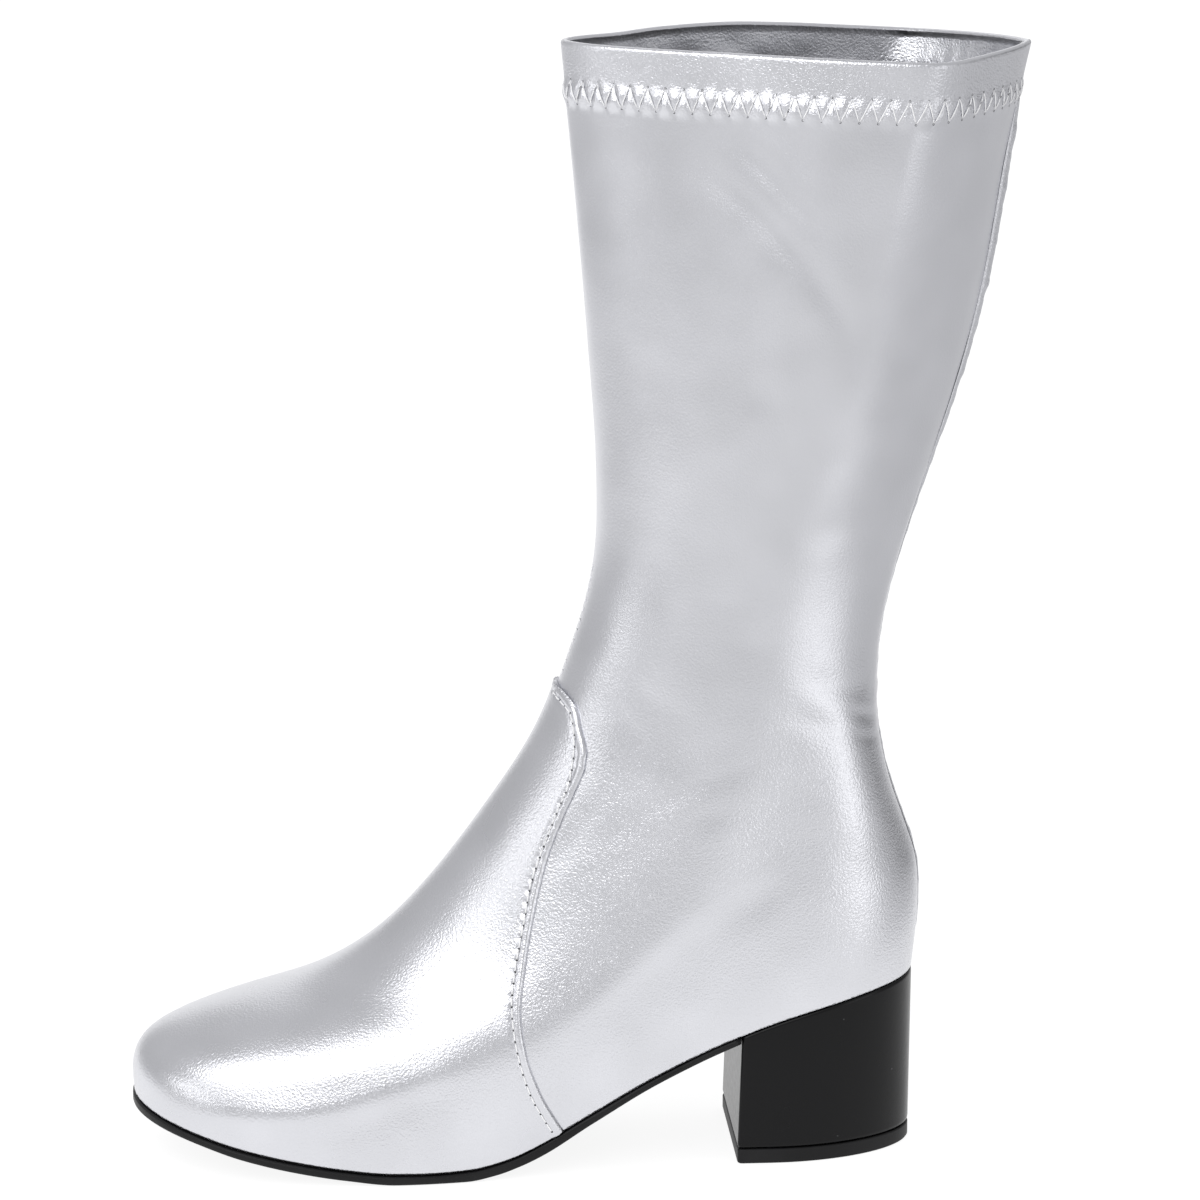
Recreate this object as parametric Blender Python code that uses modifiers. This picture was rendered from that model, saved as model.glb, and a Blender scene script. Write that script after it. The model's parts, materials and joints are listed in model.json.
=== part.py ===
"""Left costume boot: stretch shaft with a turned hem, lapped vamp, thin outsole and block heel.

The toe points to -X, the outer side of the foot to -Y, and the boot stands on the floor at z = 0.
Tables and sizes are in millimetres; points are scaled to metres when a mesh is made.
"""

import bmesh
import bpy
import numpy as np

MM = 0.001

# Driving sizes, in millimetres
WALL = 1.5
HEM_WALL = 2.4
HEM_DEPTH = 20.0
GAP = 0.3
VAMP_THICKNESS = 0.9
STRIP_THICKNESS = 0.8
STRIP_HALF_WIDTH = 4.5
MARGIN_WIDTH = 11.0
FEATHER_ROUND = 1.0
INSOLE_THICKNESS = 2.2
INSOLE_INSET = 2.6
SOLE_OVERHANG = 1.6
SOLE_BEVEL = 0.7
HEEL_BREAST_TOP = 48.8
HEEL_BREAST_FOOT = 47.6
HEEL_BACK_FOOT = 104.6
HEEL_HALF_WIDTH_FOOT = 28.3
HEEL_BACK_CAP = 46.0
HEEL_BACK_POWER = 1.9
LIFT_HEIGHT = 4.8
HEEL_BEVEL = 0.5
CENTRE_SHIFT = 2.2

# How finely the walls are faceted
SIDE_COLUMNS = 30
FOOT_ROWS_PER_SECTION = 2
END_DENSITY = 0.35
DENSE_SAMPLES = 240

# The upper's sections, from the feather edge to the collar. Each section runs from a point on the back
# of the boot to a point on its front, seen from the side. Widths are half widths at the heel, waist and
# ball of that section. A cap is the length over which an end rounds off, and its power how square it is.
# Bow is how much of the bottom's arch a section keeps, swing how much of the last's inward curve, wave
# how much of the collar's uneven edge, and spread how far the outer side stands out.
COLUMNS = ("back_x", "back_z", "front_x", "front_z", "heel", "waist", "ball",
           "back_cap", "back_power", "front_cap", "front_power", "bow", "swing", "wave", "spread")
SECTIONS = (
    (105.0, 58.4, -140.8, 20.0, 28.6, 29.6, 39.0, 36, 2.1, 62, 2.35, 1.00, 1.0, 0.0, 3.0),
    (106.0, 68.0, -141.4, 27.5, 30.2, 31.2, 39.6, 37, 2.1, 62, 2.30, 0.96, 1.0, 0.0, 2.5),
    (106.8, 79.0, -138.6, 34.6, 31.2, 32.6, 39.9, 39, 2.1, 62, 2.20, 0.90, 1.0, 0.0, 1.7),
    (106.4, 90.0, -128.8, 41.0, 31.4, 33.5, 39.6, 40, 2.1, 64, 2.10, 0.80, 1.0, 0.0, 0.9),
    (104.5, 98.0, -110.0, 48.0, 31.2, 34.0, 37.8, 39, 2.15, 68, 2.00, 0.68, 1.0, 0.0, 0.3),
    (102.0, 105.0, -88.0, 53.9, 30.8, 34.2, 35.7, 36, 2.3, 70, 2.00, 0.54, 1.0, 0.0, 0.0),
    (99.2, 112.5, -65.2, 66.6, 30.4, 34.3, 34.0, 33, 2.5, 70, 2.00, 0.40, 0.9, 0.0, 0.0),
    (96.7, 120.0, -45.4, 87.2, 30.2, 33.8, 33.2, 31, 2.65, 68, 2.00, 0.26, 0.8, 0.0, 0.0),
    (94.3, 130.0, -28.4, 110.4, 30.2, 33.4, 32.8, 31, 2.7, 64, 2.00, 0.14, 0.6, 0.0, 0.0),
    (92.6, 142.0, -13.0, 134.2, 30.4, 33.0, 32.6, 33, 2.6, 58, 2.00, 0.06, 0.4, 0.0, 0.0),
    (92.6, 157.0, -4.2, 158.0, 31.0, 33.0, 32.8, 38, 2.4, 52, 2.00, 0.00, 0.2, 0.0, 0.0),
    (95.5, 177.0, 2.0, 178.0, 32.0, 33.2, 32.8, 43, 2.2, 50, 2.00, 0.00, 0.0, 0.0, 0.0),
    (101.8, 199.0, 5.1, 199.5, 33.4, 34.2, 33.6, 46, 2.0, 52, 2.00, 0.00, 0.0, 0.0, 0.0),
    (109.0, 222.0, 4.8, 222.5, 35.4, 36.0, 34.8, 45, 1.9, 56, 1.95, 0.00, 0.0, 0.0, 0.0),
    (118.7, 252.0, 2.7, 252.5, 38.4, 38.6, 36.4, 43, 1.73, 66, 1.90, 0.00, 0.0, 0.0, 0.0),
    (126.0, 284.0, 0.0, 284.0, 41.2, 40.6, 37.8, 40, 1.58, 80, 1.85, 0.00, 0.0, 0.0, 0.0),
    (130.8, 315.0, -2.9, 315.0, 43.2, 42.0, 38.8, 37, 1.46, 95, 1.80, 0.00, 0.0, 0.4, 0.0),
    (138.2, 349.5, -6.2, 349.5, 44.0, 42.6, 39.0, 35, 1.42, 104, 1.78, 0.00, 0.0, 1.0, 0.0),
)
WIDTH_STATIONS = (0.0, 0.16, 0.43, 0.68, 1.0)
ANKLE = 11
COLLAR = len(SECTIONS) - 1

# The last's inward curve: share of the section from the back, and how far its centre lies inwards
CENTRE_LINE = ((0.0, 0.0), (0.25, 0.0), (0.45, -1.5), (0.66, 1.0), (0.85, 3.4), (1.0, 5.0))

# Where along a section the outer side spreads
SPREAD_LINE = ((0.0, 0.0), (0.22, 0.0), (0.4, 1.0), (0.86, 1.0), (0.94, 0.6), (1.0, 0.0))

# The collar's uneven edge: share of the section from the back, and height on the outer and the inner side
OUTER_WAVE = ((0.0, 0.6), (0.09, -0.3), (0.22, -1.6), (0.38, -0.9), (0.7, 0.6), (1.0, 1.5))
INNER_WAVE = ((0.0, 0.4), (0.2, -0.4), (0.35, 0.6), (0.5, 2.1), (0.64, 3.1), (0.78, 2.5), (0.9, 1.4), (1.0, 1.5))

# Underside of the upper along the foot: place from toe to heel, and height
UPPER_UNDERSIDE = ((-143, 18.9), (-121, 13.3), (-107, 10.0), (-91, 6.9), (-76, 4.5), (-62, 3.1),
                   (-50, 2.9), (-37, 3.4), (-25, 5.9), (-13, 11.1), (2, 19.6), (18, 28.5),
                   (34, 35.9), (48, 41.7), (62, 46.9), (76, 51.2), (90, 54.7), (106, 57.4))

# Underside of the outsole, flat on the floor under the ball
SOLE_UNDERSIDE = ((-145, 15.8), (-121, 10.6), (-107, 7.2), (-91, 4.0), (-76, 1.6), (-60, 0.0), (-38, 0.0),
                  (-29, 1.3), (-21, 3.7), (-13, 7.2), (2, 16.4), (18, 25.8), (34, 33.3), (50, 40.0))

# Vamp's lapped edge seen from the side: height, and place along the foot
VAMP_EDGE = ((-5, 3.0), (10, -4.5), (17, -8.9), (28, -14.8), (41, -19.1), (53, -20.6), (67, -18.9), (82, -16.2),
             (98, -12.2), (109, -8.1), (119, -3.6), (128, 0.1), (133, 0.7), (140, -0.8), (145, -1.8),
             (148, -4.3), (149.6, -6.6), (150.6, -9.5))
VAMP_EDGE_POINTS = 26

# Middle of the back strip: height, and how far it lies to the inner side
STRIP_LINE = ((70, 0.0), (150, 0.0), (200, -0.6), (240, -1.2), (290, -1.4), (327, -0.8))
STRIP_EDGE_POINTS = 9

# How far the sole's edge draws in from its overhang: share of the foot's length from the back, and distance
SOLE_WAIST = ((0.2, 1.4), (0.4, 0.9), (0.6, 0.1), (0.8, 0.0), (1.0, 0.0))


def smooth(table, at):
    """Monotone cubic curve through a table of (place, value) rows, read at one or many places."""
    xs, ys = np.array(table, float).T
    steps = np.diff(xs)
    secants = np.diff(ys) / steps
    slopes = np.zeros(len(xs))
    slopes[0], slopes[-1] = secants[0], secants[-1]
    for i in range(1, len(xs) - 1):
        before, after = secants[i - 1], secants[i]
        if before * after > 0:
            slopes[i] = 2 * before * after / (before + after)
    at = np.clip(np.asarray(at, float), xs[0], xs[-1])
    i = np.clip(np.searchsorted(xs, at) - 1, 0, len(xs) - 2)
    h = steps[i]
    t = (at - xs[i]) / h
    return ((1 + 2 * t) * (1 - t) ** 2 * ys[i] + t * (1 - t) ** 2 * h * slopes[i]
            + t * t * (3 - 2 * t) * ys[i + 1] + t * t * (t - 1) * h * slopes[i + 1])


def section(v):
    """The named sizes of the section at v, counted in rows of the table from the feather edge up."""
    rows = np.array(SECTIONS, float)
    places = np.arange(len(rows))
    return {name: float(smooth(np.column_stack((places, rows[:, i])), v)) for i, name in enumerate(COLUMNS)}


def cap(distance, length, power):
    """How far a rounded end has opened at a distance from its tip, from 0 to 1."""
    t = np.clip(distance / length, 0.0, 1.0)
    return (1 - (1 - t) ** power) ** (1 / power)


def arch(s):
    """The feather edge's height above the straight line between its ends."""
    first = section(0)
    x = first["back_x"] + (first["front_x"] - first["back_x"]) * s
    line = first["back_z"] + (first["front_z"] - first["back_z"]) * s
    return smooth(UPPER_UNDERSIDE, x) + FEATHER_ROUND - line


def outline(v, s, inset=0.0):
    """Place, centre, half width and height of a section, at shares s of its way from back to front."""
    row = section(v)
    back_x, front_x = row["back_x"] - inset, row["front_x"] + inset
    x = back_x + (front_x - back_x) * s
    z = row["back_z"] + (row["front_z"] - row["back_z"]) * s + row["bow"] * arch(s)
    length = np.hypot(back_x - front_x, row["back_z"] - row["front_z"])
    widths = (row["heel"], row["heel"], row["waist"], row["ball"], row["ball"])
    spread = row["spread"] * smooth(SPREAD_LINE, s)
    half = smooth(tuple(zip(WIDTH_STATIONS, widths)), s) + spread / 2 - inset
    half = half * cap(s * length, row["back_cap"] - inset, row["back_power"])
    half = half * cap((1 - s) * length, row["front_cap"] - inset, row["front_power"])
    return x, row["swing"] * smooth(CENTRE_LINE, s) - spread / 2, half, z


def half_section(v, side, fractions, inset=0.0):
    """Points along one side of a section, at fractions of its length from the back to the front."""
    s = (1 - np.cos(np.linspace(0, np.pi, DENSE_SAMPLES))) / 2
    x, centre, half, z = outline(v, s, inset)
    z = z + section(v)["wave"] * smooth(OUTER_WAVE if side < 0 else INNER_WAVE, s)
    dense = np.column_stack((x, centre + side * half, z))
    run = np.concatenate(([0], np.cumsum(np.linalg.norm(np.diff(dense, axis=0), axis=1))))
    return np.column_stack([np.interp(np.asarray(fractions) * run[-1], run, dense[:, k]) for k in range(3)])


def column_fractions(count):
    """Fractions from back to front, closer together at both ends."""
    t = np.linspace(0, 1, count + 1)
    return t - END_DENSITY * np.sin(2 * np.pi * t) / (2 * np.pi)


def ring(v, inset=0.0):
    """A closed section: back, outer side, front, inner side."""
    fractions = column_fractions(SIDE_COLUMNS)
    outer = half_section(v, -1, fractions, inset)
    inner = half_section(v, 1, fractions, inset)
    return np.vstack((outer, inner[-2:0:-1]))


def new_object(name, bm, collection, material):
    """A mesh object in metres from a bmesh in millimetres."""
    bmesh.ops.scale(bm, vec=(MM, MM, MM), verts=bm.verts)
    mesh = bpy.data.meshes.new(name)
    bm.to_mesh(mesh)
    bm.free()
    obj = bpy.data.objects.new(name, mesh)
    collection.objects.link(obj)
    if material:
        mesh.materials.append(material)
    mesh.shade_smooth()
    mesh.set_sharp_from_angle(angle=np.radians(40))
    return obj


def loft(bm, rows, closed):
    """Quads between rows of points; a closed row joins its last point to its first."""
    grid = [[bm.verts.new(point) for point in row] for row in rows]
    count = len(rows[0])
    for low, high in zip(grid, grid[1:]):
        for k in range(count if closed else count - 1):
            n = (k + 1) % count
            bm.faces.new((low[k], high[k], high[n], low[n]))
    return grid


def slab(bm, top, bottom):
    """A closed solid between two outlines, each (outer side, inner side) from back to front."""
    loops = []
    for outer, inner in (top, bottom):
        pairs = []
        for a, b in zip(outer, inner):
            first = bm.verts.new(a)
            merged = np.linalg.norm(np.subtract(a, b)) < 0.01
            pairs.append((first, first if merged else bm.verts.new(b)))
        loops.append(pairs)
    for pairs in loops:
        for (a, b), (c, d) in zip(pairs, pairs[1:]):
            bm.faces.new(tuple(dict.fromkeys((a, c, d, b))))
    for (ta, tb), (tc, td), (ba, bb), (bc, bd) in zip(loops[0], loops[0][1:], loops[1], loops[1][1:]):
        bm.faces.new((ta, tc, bc, ba))
        bm.faces.new((tb, td, bd, bb))
    for end in (0, -1):
        (ta, tb), (ba, bb) = loops[0][end], loops[1][end]
        if ta is not tb:
            bm.faces.new((ta, tb, bb, ba))
    bmesh.ops.recalc_face_normals(bm, faces=bm.faces)


def add_bevel(obj, width):
    bevel = obj.modifiers.new("edge", "BEVEL")
    bevel.width = width * MM
    bevel.segments = 1
    bevel.limit_method = "ANGLE"
    bevel.angle_limit = np.radians(50)


def add_wall(obj, thickness, offset=-1.0):
    """Thickness for a skin: offset -1 puts it inside the skin, and more than 1 clear outside it."""
    wall = obj.modifiers.new("wall", "SOLIDIFY")
    wall.thickness = thickness * MM
    wall.offset = offset
    wall.use_even_offset = True
    wall.use_quality_normals = True
    return wall


def material(name, colour, roughness, metallic):
    made = bpy.data.materials.new(name)
    made.use_nodes = True
    shader = made.node_tree.nodes["Principled BSDF"]
    shader.inputs["Base Color"].default_value = (*colour, 1)
    shader.inputs["Roughness"].default_value = roughness
    shader.inputs["Metallic"].default_value = metallic
    made.diffuse_color = (*colour, 1)
    return made


def upper_rows():
    """Heights in the table at which the upper's wall has a ring of points, closer over the foot."""
    foot = np.linspace(0, ANKLE, ANKLE * FOOT_ROWS_PER_SECTION + 1)
    return sorted({*foot, *range(ANKLE, COLLAR + 1), hem_share(), hem_share() + 0.06})


def hem_share():
    """The table height where the turned hem begins."""
    first, last = SECTIONS[-2][1], SECTIONS[-1][1]
    return COLLAR - HEM_DEPTH / (last - first)


def make_upper(collection, silver):
    """Shaft and quarters in one wall, with the hem turned in and the lasting margin turned under."""
    bm = bmesh.new()
    margin = []
    for inset in (MARGIN_WIDTH, FEATHER_ROUND):
        points = ring(0, inset)
        points[:, 2] = smooth(UPPER_UNDERSIDE, points[:, 0])
        margin.append(points)
    heights = upper_rows()
    loft(bm, margin + [ring(v) for v in heights], closed=True)
    obj = new_object("upper", bm, collection, silver)
    wall = add_wall(obj, HEM_WALL)
    group = obj.vertex_groups.new(name="wall")
    per_ring = 2 * SIDE_COLUMNS
    for i in range(len(obj.data.vertices)):
        v = i // per_ring - len(margin)
        in_hem = v >= 0 and heights[v] > hem_share()
        group.add([i], 1.0 if in_hem else WALL / HEM_WALL, "REPLACE")
    wall.vertex_group = group.name
    return obj


def overlay(name, collection, silver, thickness, cutter):
    """A panel that lies on the upper, cut from a second skin of the same facets."""
    bm = bmesh.new()
    loft(bm, [ring(v) for v in upper_rows()], closed=True)
    obj = new_object(name, bm, collection, silver)
    add_wall(obj, thickness, 1 + 2 * GAP / thickness)
    cut = obj.modifiers.new("edge", "BOOLEAN")
    cut.operation = "INTERSECT"
    cut.solver = "EXACT"
    cut.object = cutter
    return obj


def prism(name, collection, polygon, axis, low, high):
    """A cutter: a polygon of the two other axes, drawn out along one axis."""
    bm = bmesh.new()
    ends = [[bm.verts.new(np.insert(point, axis, at)) for point in polygon] for at in (low, high)]
    for k in range(len(polygon)):
        n = (k + 1) % len(polygon)
        bm.faces.new((ends[0][k], ends[0][n], ends[1][n], ends[1][k]))
    for end in ends:
        bm.faces.new(end)
    bmesh.ops.recalc_face_normals(bm, faces=bm.faces)
    obj = new_object(name, bm, collection, None)
    obj.hide_render = True
    obj.display_type = "WIRE"
    return obj


def make_vamp(boot, cutters, silver):
    """Front-foot panel lapped over the upper, ending in a point at the throat."""
    heights = np.linspace(VAMP_EDGE[0][0], VAMP_EDGE[-1][0], VAMP_EDGE_POINTS)
    edge = list(zip(smooth(VAMP_EDGE, heights), heights))
    corners = [(-200.0, VAMP_EDGE[-1][0]), (-200.0, VAMP_EDGE[0][0])]
    cutter = prism("vamp_cutter", cutters, edge + corners, 1, -80.0, 80.0)
    return overlay("vamp", boot, silver, VAMP_THICKNESS, cutter)


def make_back_strip(boot, cutters, silver):
    """Narrow strip over the back seam, from above the heel seat to just under the hem."""
    heights = np.linspace(STRIP_LINE[0][0], STRIP_LINE[-1][0], STRIP_EDGE_POINTS)
    middle = smooth(STRIP_LINE, heights)
    outer = list(zip(middle - STRIP_HALF_WIDTH, heights))
    inner = list(zip(middle + STRIP_HALF_WIDTH, heights))
    cutter = prism("strip_cutter", cutters, outer + inner[::-1], 0, 75.0, 160.0)
    return overlay("back_strip", boot, silver, STRIP_THICKNESS, cutter)


def foot_outline(s, inset, height, waist=0.0):
    """Outer and inner edge of a layer under the foot, its height a function of the place."""
    x, centre, half, _ = outline(0, s, inset)
    half = np.maximum(half - waist, 0.0)
    z = height(x)
    return np.column_stack((x, centre - half, z)), np.column_stack((x, centre + half, z))


def stations(first, last, extra=()):
    """Shares of the foot's length from back to front, in step with the upper's columns."""
    row = section(0)
    fractions = column_fractions(SIDE_COLUMNS)
    x = (half_section(0, -1, fractions)[:, 0] + half_section(0, 1, fractions)[:, 0]) / 2
    shares = (row["back_x"] - x) / (row["back_x"] - row["front_x"])
    inside = shares[(shares > first + 0.004) & (shares < last - 0.004)]
    return np.array(sorted({first, last, *extra, *inside}))


def share_of(x, inset):
    """The share of the foot's length at a place, for an outline with this inset."""
    row = section(0)
    back, front = row["back_x"] - inset, row["front_x"] + inset
    return (back - x) / (back - front)


def make_insole(collection, lining):
    bm = bmesh.new()
    s = stations(0.0, 1.0)
    under = WALL + GAP
    top = foot_outline(s, INSOLE_INSET, lambda x: smooth(UPPER_UNDERSIDE, x) + under + INSOLE_THICKNESS)
    bottom = foot_outline(s, INSOLE_INSET, lambda x: smooth(UPPER_UNDERSIDE, x) + under)
    slab(bm, top, bottom)
    return new_object("insole", bm, collection, lining)


def make_outsole(collection, black):
    """Thin sole from the toe to the heel breast, flat on the floor under the ball."""
    bm = bmesh.new()
    flat = [share_of(x, -SOLE_OVERHANG) for x, z in SOLE_UNDERSIDE if z == 0]
    s = stations(share_of(HEEL_BREAST_TOP - GAP, -SOLE_OVERHANG), 1.0, flat)
    waist = smooth(SOLE_WAIST, s)
    top = foot_outline(s, -SOLE_OVERHANG, lambda x: smooth(UPPER_UNDERSIDE, x) - GAP, waist)
    bottom = foot_outline(s, -SOLE_OVERHANG, lambda x: smooth(SOLE_UNDERSIDE, x), waist)
    slab(bm, top, bottom)
    obj = new_object("outsole", bm, collection, black)
    add_bevel(obj, SOLE_BEVEL)
    return obj


def heel_foot(s, height):
    """Outline of the heel where it meets the lift, at shares of its length from the back to the breast."""
    x = HEEL_BACK_FOOT + (HEEL_BREAST_FOOT - HEEL_BACK_FOOT) * s
    half = HEEL_HALF_WIDTH_FOOT * cap(HEEL_BACK_FOOT - x, HEEL_BACK_CAP, HEEL_BACK_POWER)
    z = np.full(len(s), height)
    return np.column_stack((x, -half, z)), np.column_stack((x, half, z))


def heel_stations():
    return stations(0.0, share_of(HEEL_BREAST_TOP, 0.0))


def make_heel(collection, black):
    """Block heel: its top follows the upper's heel seat, its back is round and its breast flat."""
    s = heel_stations()
    top = foot_outline(s, 0.0, lambda x: smooth(UPPER_UNDERSIDE, x) - GAP)
    bm = bmesh.new()
    slab(bm, top, heel_foot(s / s[-1], LIFT_HEIGHT + GAP))
    obj = new_object("heel", bm, collection, black)
    add_bevel(obj, HEEL_BEVEL)
    return obj


def make_heel_lift(collection, rubber):
    s = heel_stations()
    bm = bmesh.new()
    slab(bm, heel_foot(s / s[-1], LIFT_HEIGHT), heel_foot(s / s[-1], 0.0))
    obj = new_object("heel_lift", bm, collection, rubber)
    add_bevel(obj, HEEL_BEVEL)
    return obj


def main():
    for obj in list(bpy.data.objects):
        bpy.data.objects.remove(obj)
    boot = bpy.data.collections.new("costume_boot")
    cutters = bpy.data.collections.new("cutters")
    for collection in (boot, cutters):
        bpy.context.scene.collection.children.link(collection)
    silver = material("silver_stretch", (0.80, 0.80, 0.82), 0.32, 0.9)
    black = material("black_heel", (0.012, 0.012, 0.013), 0.3, 0.0)
    rubber = material("black_rubber", (0.015, 0.015, 0.016), 0.6, 0.0)
    lining = material("insole_lining", (0.55, 0.54, 0.52), 0.8, 0.0)
    pieces = (
        make_upper(boot, silver),
        make_vamp(boot, cutters, silver),
        make_back_strip(boot, cutters, silver),
        make_insole(boot, lining),
        make_outsole(boot, black),
        make_heel(boot, black),
        make_heel_lift(boot, rubber),
    )
    root = bpy.data.objects.new("boot", None)
    root.location.x = CENTRE_SHIFT * MM
    boot.objects.link(root)
    for piece in (*pieces, *cutters.objects):
        piece.parent = root


main()
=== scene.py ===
"""Looks of the silver costume boot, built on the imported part.

Tables are in millimetres in the part's own frame before the shift that centres it: the toe points to -X,
the outer side of the foot to -Y, and the floor is at z = 0. Meshes are shifted and scaled when they are made.
"""

import json
from functools import cache
from types import SimpleNamespace

import bpy
import numpy as np
from numpy.linalg import norm
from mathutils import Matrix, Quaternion, Vector

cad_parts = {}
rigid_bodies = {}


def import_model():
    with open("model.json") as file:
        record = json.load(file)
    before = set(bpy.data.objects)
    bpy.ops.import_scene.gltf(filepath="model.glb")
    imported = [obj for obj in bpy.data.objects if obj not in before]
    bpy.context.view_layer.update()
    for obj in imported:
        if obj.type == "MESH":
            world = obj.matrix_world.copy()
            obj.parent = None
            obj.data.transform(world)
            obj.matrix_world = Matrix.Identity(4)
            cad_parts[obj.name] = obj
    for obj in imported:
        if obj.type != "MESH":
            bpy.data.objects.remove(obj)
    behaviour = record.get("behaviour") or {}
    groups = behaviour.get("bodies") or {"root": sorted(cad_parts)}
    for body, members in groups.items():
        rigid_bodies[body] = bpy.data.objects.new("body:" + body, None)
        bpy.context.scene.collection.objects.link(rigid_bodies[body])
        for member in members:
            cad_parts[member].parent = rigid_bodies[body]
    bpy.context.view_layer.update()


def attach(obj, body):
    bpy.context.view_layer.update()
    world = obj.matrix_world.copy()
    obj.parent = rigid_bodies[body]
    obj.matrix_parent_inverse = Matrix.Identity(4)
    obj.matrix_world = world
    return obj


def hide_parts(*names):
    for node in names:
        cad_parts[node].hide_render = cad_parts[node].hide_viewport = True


MM = 0.001
SHIFT = np.array([2.2, 0.0, 0.0])

# Camera and its aim, in the shifted frame
CAMERA_AT = (-84.8, -1500.0, 520.0)
CAMERA_AIM = (8.2, 0.0, 176.1)
LENS = 148.46

# Driving sizes
WALL = 1.5
HEM_WALL = 2.4
HEM_DEPTH = 20.0
HEM_ZONE = 24.0
RIM_RADIUS = 1.2
MARGIN_WIDTH = 11.0
FEATHER_ROUND = 1.0
SOLE_OVERHANG = 1.6
GAP = 0.3
HEEL_BREAST_TOP = 48.8
HEEL_BREAST_FOOT = 47.6
HEEL_BACK_FOOT = 104.6
HEEL_HALF_WIDTH_FOOT = 28.3
HEEL_BACK_CAP = 46.0
HEEL_BACK_POWER = 1.9
HEEL_CORNER = 1.4
HEEL_HALF_LENGTH = 28.0
LIFT_HEIGHT = 4.8
INSOLE_INSET = 2.6

# The upper's sections from the feather edge to the collar, as in the part
COLUMNS = ("back_x", "back_z", "front_x", "front_z", "heel", "waist", "ball",
           "back_cap", "back_power", "front_cap", "front_power", "bow", "swing", "wave", "spread")
SECTIONS = (
    (105.0, 58.4, -140.8, 20.0, 28.6, 29.6, 39.0, 36, 2.1, 62, 2.35, 1.00, 1.0, 0.0, 3.0),
    (106.0, 68.0, -141.4, 27.5, 30.2, 31.2, 39.6, 37, 2.1, 62, 2.30, 0.96, 1.0, 0.0, 2.5),
    (106.8, 79.0, -138.6, 34.6, 31.2, 32.6, 39.9, 39, 2.1, 62, 2.20, 0.90, 1.0, 0.0, 1.7),
    (106.4, 90.0, -128.8, 41.0, 31.4, 33.5, 39.6, 40, 2.1, 64, 2.10, 0.80, 1.0, 0.0, 0.9),
    (104.5, 98.0, -110.0, 48.0, 31.2, 34.0, 37.8, 39, 2.15, 68, 2.00, 0.68, 1.0, 0.0, 0.3),
    (102.0, 105.0, -88.0, 53.9, 30.8, 34.2, 35.7, 36, 2.3, 70, 2.00, 0.54, 1.0, 0.0, 0.0),
    (99.2, 112.5, -65.2, 66.6, 30.4, 34.3, 34.0, 33, 2.5, 70, 2.00, 0.40, 0.9, 0.0, 0.0),
    (96.7, 120.0, -45.4, 87.2, 30.2, 33.8, 33.2, 31, 2.65, 68, 2.00, 0.26, 0.8, 0.0, 0.0),
    (94.3, 130.0, -28.4, 110.4, 30.2, 33.4, 32.8, 31, 2.7, 64, 2.00, 0.14, 0.6, 0.0, 0.0),
    (92.6, 142.0, -13.0, 134.2, 30.4, 33.0, 32.6, 33, 2.6, 58, 2.00, 0.06, 0.4, 0.0, 0.0),
    (92.6, 157.0, -4.2, 158.0, 31.0, 33.0, 32.8, 38, 2.4, 52, 2.00, 0.00, 0.2, 0.0, 0.0),
    (95.5, 177.0, 2.0, 178.0, 32.0, 33.2, 32.8, 43, 2.2, 50, 2.00, 0.00, 0.0, 0.0, 0.0),
    (101.8, 199.0, 5.1, 199.5, 33.4, 34.2, 33.6, 46, 2.0, 52, 2.00, 0.00, 0.0, 0.0, 0.0),
    (109.0, 222.0, 4.8, 222.5, 35.4, 36.0, 34.8, 45, 1.9, 56, 1.95, 0.00, 0.0, 0.0, 0.0),
    (118.7, 252.0, 2.7, 252.5, 38.4, 38.6, 36.4, 43, 1.73, 66, 1.90, 0.00, 0.0, 0.0, 0.0),
    (126.0, 284.0, 0.0, 284.0, 41.2, 40.6, 37.8, 40, 1.58, 80, 1.85, 0.00, 0.0, 0.0, 0.0),
    (130.8, 315.0, -2.9, 315.0, 43.2, 42.0, 38.8, 37, 1.46, 95, 1.80, 0.00, 0.0, 0.4, 0.0),
    (138.2, 349.5, -6.2, 349.5, 44.0, 42.6, 39.0, 35, 1.42, 104, 1.78, 0.00, 0.0, 1.0, 0.0),
)
WIDTH_STATIONS = (0.0, 0.16, 0.43, 0.68, 1.0)
CENTRE_LINE = ((0.0, 0.0), (0.25, 0.0), (0.45, -1.5), (0.66, 1.0), (0.85, 3.4), (1.0, 5.0))
SPREAD_LINE = ((0.0, 0.0), (0.22, 0.0), (0.4, 1.0), (0.86, 1.0), (0.94, 0.6), (1.0, 0.0))
OUTER_WAVE = ((0.0, 0.6), (0.09, -0.3), (0.22, -1.6), (0.38, -0.9), (0.7, 0.6), (1.0, 1.5))
INNER_WAVE = ((0.0, 0.4), (0.2, -0.4), (0.35, 0.6), (0.5, 2.1), (0.64, 3.1), (0.78, 2.5), (0.9, 1.4),
              (1.0, 1.5))
UPPER_UNDERSIDE = ((-143, 18.9), (-121, 13.3), (-107, 10.0), (-91, 6.9), (-76, 4.5), (-62, 3.1),
                   (-50, 2.9), (-37, 3.4), (-25, 5.9), (-13, 11.1), (2, 19.6), (18, 28.5),
                   (34, 35.9), (48, 41.7), (62, 46.9), (76, 51.2), (90, 54.7), (106, 57.4))
SOLE_UNDERSIDE = ((-145, 15.8), (-121, 10.6), (-107, 7.2), (-91, 4.0), (-76, 1.6), (-60, 0.0), (-38, 0.0),
                  (-29, 1.3), (-21, 3.7), (-13, 7.2), (2, 16.4), (18, 25.8), (34, 33.3), (50, 40.0))
SOLE_WAIST = ((0.2, 1.4), (0.4, 0.9), (0.6, 0.1), (0.8, 0.0), (1.0, 0.0))
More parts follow.
